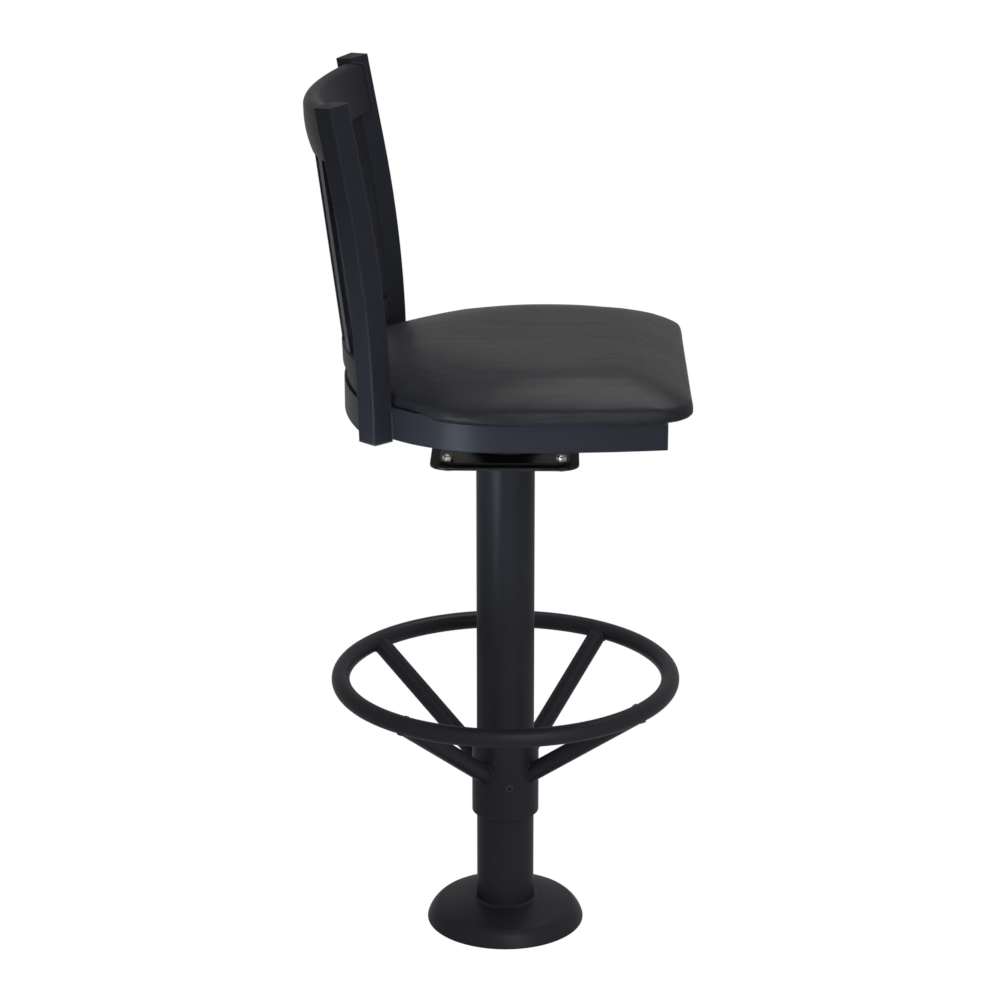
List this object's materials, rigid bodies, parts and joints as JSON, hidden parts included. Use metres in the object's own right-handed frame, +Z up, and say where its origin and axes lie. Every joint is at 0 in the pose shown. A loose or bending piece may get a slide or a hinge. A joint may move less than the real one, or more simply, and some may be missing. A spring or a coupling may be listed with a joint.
{
  "type": "swivel bar stool",
  "caption": "Bolt-down swivel bar stool: round pedestal, adjustable foot ring, padded seat and curved slatted back on leaning square uprights.",
  "frame": {"origin": "centre of the floor flange's underside", "axes": "+Z up along the pedestal; the sitter faces -Y at rest; +X to the side"},
  "size_m": [0.4988, 0.4842, 1.1441],
  "materials": {
    "frame_coat": "satin powder coat",
    "pedestal_coat": "satin powder coat",
    "zinc": "bright zinc plate",
    "bearing_steel": "plain steel",
    "seat_vinyl": "grained black vinyl",
    "plywood": "raw plywood",
    "plug_plastic": "black plastic"
  },
  "bodies": {
    "base": {"floor_flange": "pedestal_coat", "column_tube": "pedestal_coat", "column_top_plate": "pedestal_coat", "swivel_bolts": "zinc", "swivel_nuts": "zinc", "swivel_lower_plate": "pedestal_coat", "swivel_housing": "pedestal_coat"},
    "cover": {"floor_cover": "pedestal_coat"},
    "foot_ring": {"footring_hoop": "pedestal_coat", "footring_sleeve": "pedestal_coat", "footring_set_screws": "zinc", "footring_spoke_1": "pedestal_coat", "footring_spoke_2": "pedestal_coat", "footring_spoke_3": "pedestal_coat", "footring_spoke_4": "pedestal_coat"},
    "bearing": {"swivel_balls": "bearing_steel", "swivel_cage": "bearing_steel"},
    "seat": {"swivel_spindle": "bearing_steel", "swivel_race": "bearing_steel", "swivel_lock_nut": "bearing_steel", "swivel_upper_plate": "frame_coat", "seat_bolts": "zinc", "seat_nuts": "zinc", "cross_bar_front": "frame_coat", "cross_bar_rear": "frame_coat", "seat_rail_front": "frame_coat", "seat_rail_rear": "frame_coat", "seat_rail_left": "frame_coat", "seat_rail_right": "frame_coat", "gusset_front_left": "frame_coat", "gusset_front_right": "frame_coat", "gusset_rear_left": "frame_coat", "gusset_rear_right": "frame_coat", "upright_left": "frame_coat", "upright_right": "frame_coat", "upright_cap_left": "frame_coat", "upright_cap_right": "frame_coat", "upright_plug_left": "plug_plastic", "upright_plug_right": "plug_plastic", "crest_rail": "frame_coat", "lower_back_rail": "frame_coat", "back_slat_1": "frame_coat", "back_slat_2": "frame_coat", "back_slat_3": "frame_coat", "back_slat_4": "frame_coat", "seat_board": "plywood", "board_screws": "zinc", "seat_cushion": "seat_vinyl"}
  },
  "joints": [
    {"name": "seat_swivel", "type": "hinge", "parent": "base", "child": "seat", "pos_m": [0, 0, 0.7], "axis": [0, 0, 1], "continuous": true},
    {"name": "bearing_spin", "type": "hinge", "parent": "base", "child": "bearing", "pos_m": [0, 0, 0.7], "axis": [0, 0, 1], "continuous": true},
    {"name": "ring_height", "type": "slide", "parent": "base", "child": "foot_ring", "axis": [0, 0, 1], "range_m": [-0.03, 0.2]},
    {"name": "cover_lift", "type": "slide", "parent": "base", "child": "cover", "axis": [0, 0, 1], "range_m": [0, 0.09]}
  ],
  "couplings": [
    {"joint": "bearing_spin", "follows": "seat_swivel", "ratio": 0.5}
  ]
}
